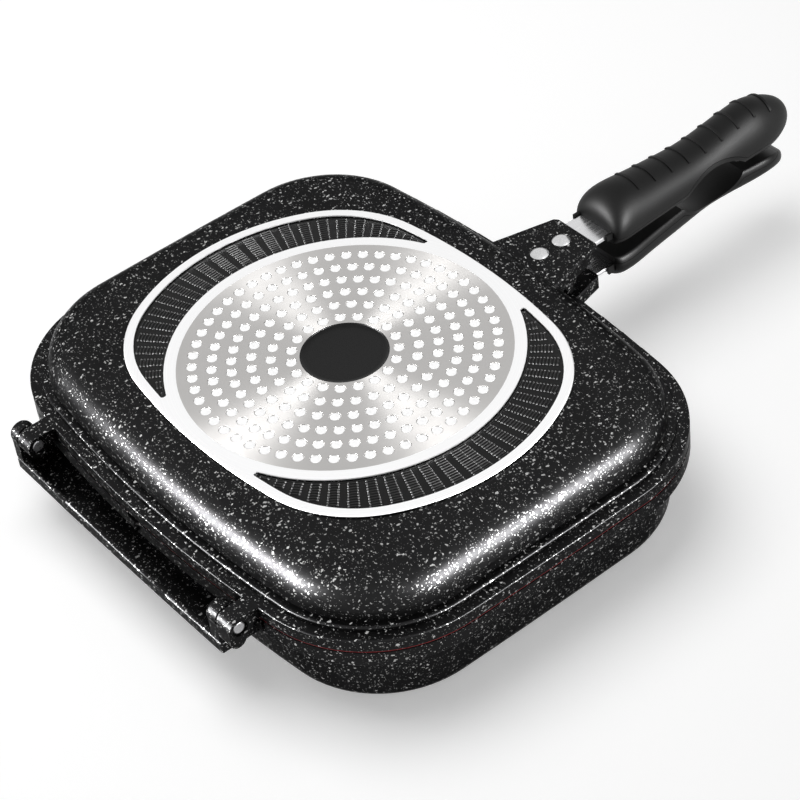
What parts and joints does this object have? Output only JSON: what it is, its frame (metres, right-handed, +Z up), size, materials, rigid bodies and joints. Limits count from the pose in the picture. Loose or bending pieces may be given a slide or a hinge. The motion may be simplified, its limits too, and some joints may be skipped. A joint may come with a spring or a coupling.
{
  "type": "double sided flip pan",
  "caption": "Hinged double frying pan, shown closed, with rounded rectangular halves, perforated induction bases, a drip trough at the hinge and stacked handles.",
  "frame": {"origin": "centre of the lower pan's flat base, on the surface that the pan stands on", "axes": "+Z up from the lower base to the upper base, +X from the pan towards the handles, the hinge along Y at -X"},
  "size_m": [0.4502, 0.32, 0.0876],
  "materials": {
    "lower_pan_shell": "satin",
    "lower_induction_disc": "satin",
    "hinge_pin_left": "polished",
    "hinge_pin_right": "polished",
    "lower_handle_strap": "polished",
    "lower_handle_rivets": "polished",
    "lower_handle_grip": "satin",
    "lower_handle_cover": "satin",
    "lower_handle_screws": "satin",
    "lower_handle_magnet": "polished",
    "upper_pan_shell": "satin",
    "upper_induction_disc": "satin",
    "silicone_gasket": "satin",
    "upper_handle_strap": "polished",
    "upper_handle_rivets": "polished",
    "upper_handle_grip": "satin",
    "upper_handle_cover": "satin",
    "upper_handle_screws": "satin",
    "upper_handle_magnet": "polished"
  },
  "bodies": {
    "lower_half": {"lower_pan_shell": "lower_pan_shell", "lower_induction_disc": "lower_induction_disc", "hinge_pin_left": "hinge_pin_left", "hinge_pin_right": "hinge_pin_right", "lower_handle_strap": "lower_handle_strap", "lower_handle_rivets": "lower_handle_rivets", "lower_handle_grip": "lower_handle_grip", "lower_handle_cover": "lower_handle_cover", "lower_handle_screws": "lower_handle_screws", "lower_handle_magnet": "lower_handle_magnet"},
    "upper_half": {"upper_pan_shell": "upper_pan_shell", "upper_induction_disc": "upper_induction_disc", "silicone_gasket": "silicone_gasket", "upper_handle_strap": "upper_handle_strap", "upper_handle_rivets": "upper_handle_rivets", "upper_handle_grip": "upper_handle_grip", "upper_handle_cover": "upper_handle_cover", "upper_handle_screws": "upper_handle_screws", "upper_handle_magnet": "upper_handle_magnet"}
  },
  "joints": [
    {"name": "pan_hinge", "type": "hinge", "parent": "lower_half", "child": "upper_half", "pos_m": [-0.1355, 0, 0.0495], "axis": [0, -1, 0], "range_deg": [0, 180]}
  ]
}
